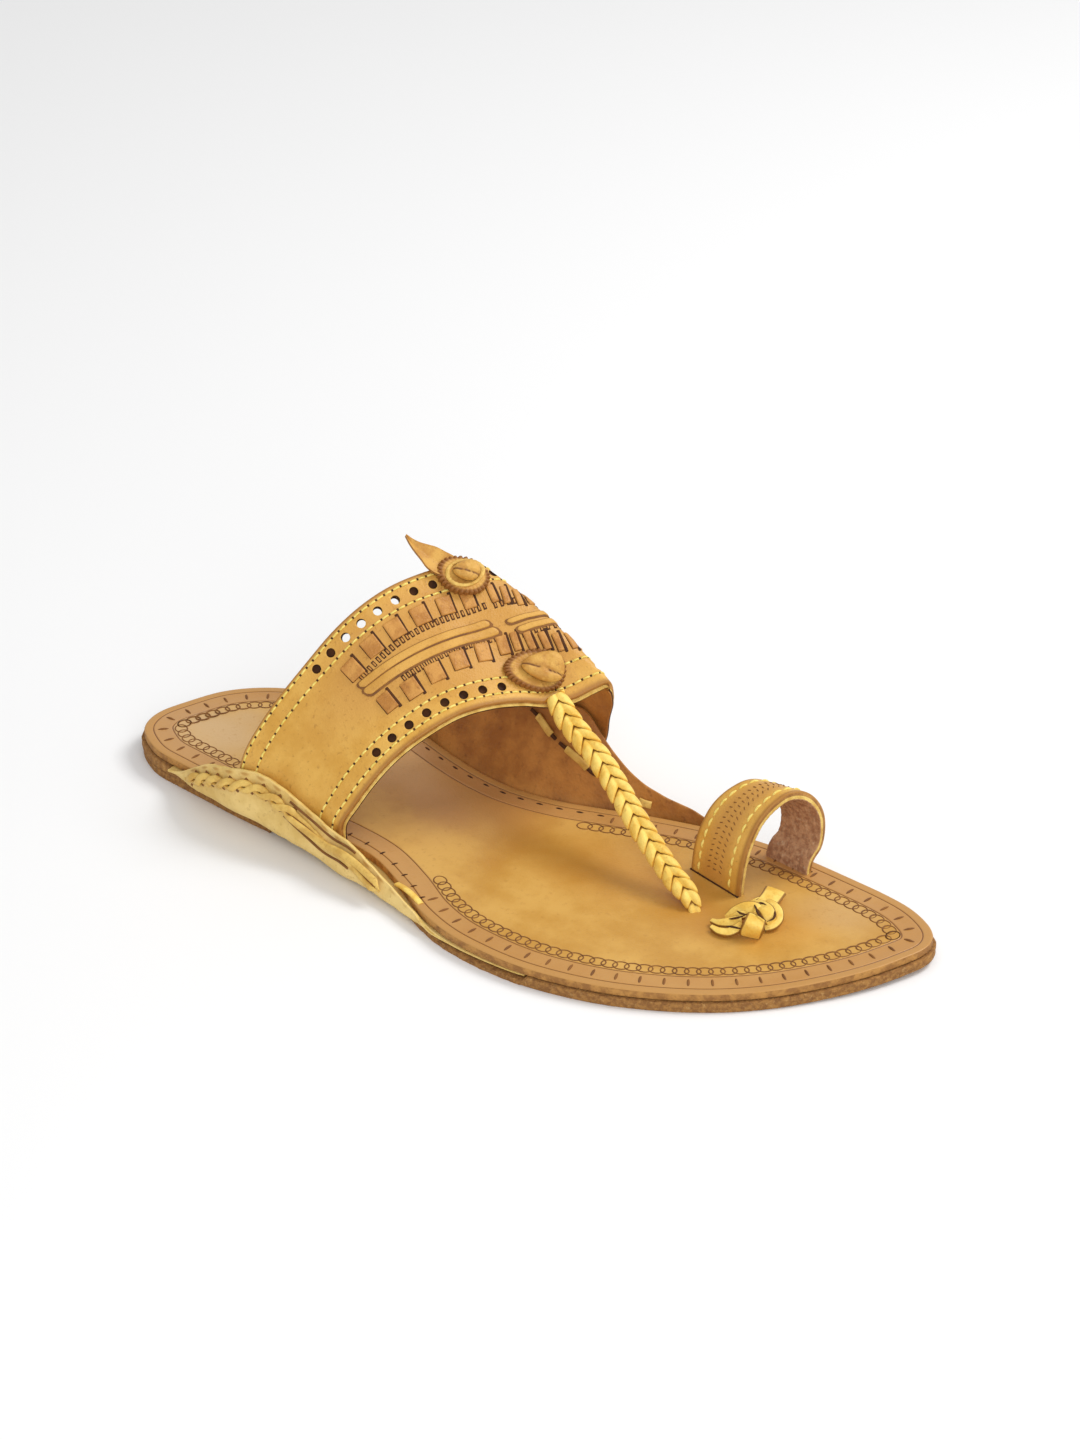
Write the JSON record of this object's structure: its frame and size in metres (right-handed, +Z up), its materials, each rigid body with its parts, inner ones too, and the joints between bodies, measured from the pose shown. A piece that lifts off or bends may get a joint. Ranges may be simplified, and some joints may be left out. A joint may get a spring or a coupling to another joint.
{
  "type": "toe-loop leather sandal",
  "caption": "Flat leather sandal for the right foot: wide punched and woven instep band, toe loop, plaited cord tied in a knot, and soft side flaps laced to the band.",
  "frame": {"origin": "bottom centre of the bounding box: on the floor, midway along the sole and midway across the widest points", "axes": "+Y from heel to toe, +X towards the outer side of the foot, +Z up"},
  "size_m": [0.1051, 0.283, 0.0894],
  "materials": {
    "outsole leather": "rough brown sole leather",
    "insole leather": "burnished golden-tan leather",
    "band leather": "golden-tan leather, satin",
    "pale leather": "soft pale yellow leather",
    "thong leather": "golden yellow thong leather"
  },
  "bodies": {
    "root": {"heel_lift": "outsole leather", "outsole": "outsole leather", "insole": "insole leather", "band": "band leather", "rosette_front": "band leather", "rosette_rear": "band leather", "pad_front": "band leather", "leaf": "band leather", "toe_loop": "band leather", "ear_outer": "pale leather", "ear_inner": "pale leather", "braid": "thong leather", "knot": "thong leather", "pad_rear": "thong leather", "lacing_outer": "thong leather", "lacing_inner": "thong leather"}
  },
  "joints": []
}
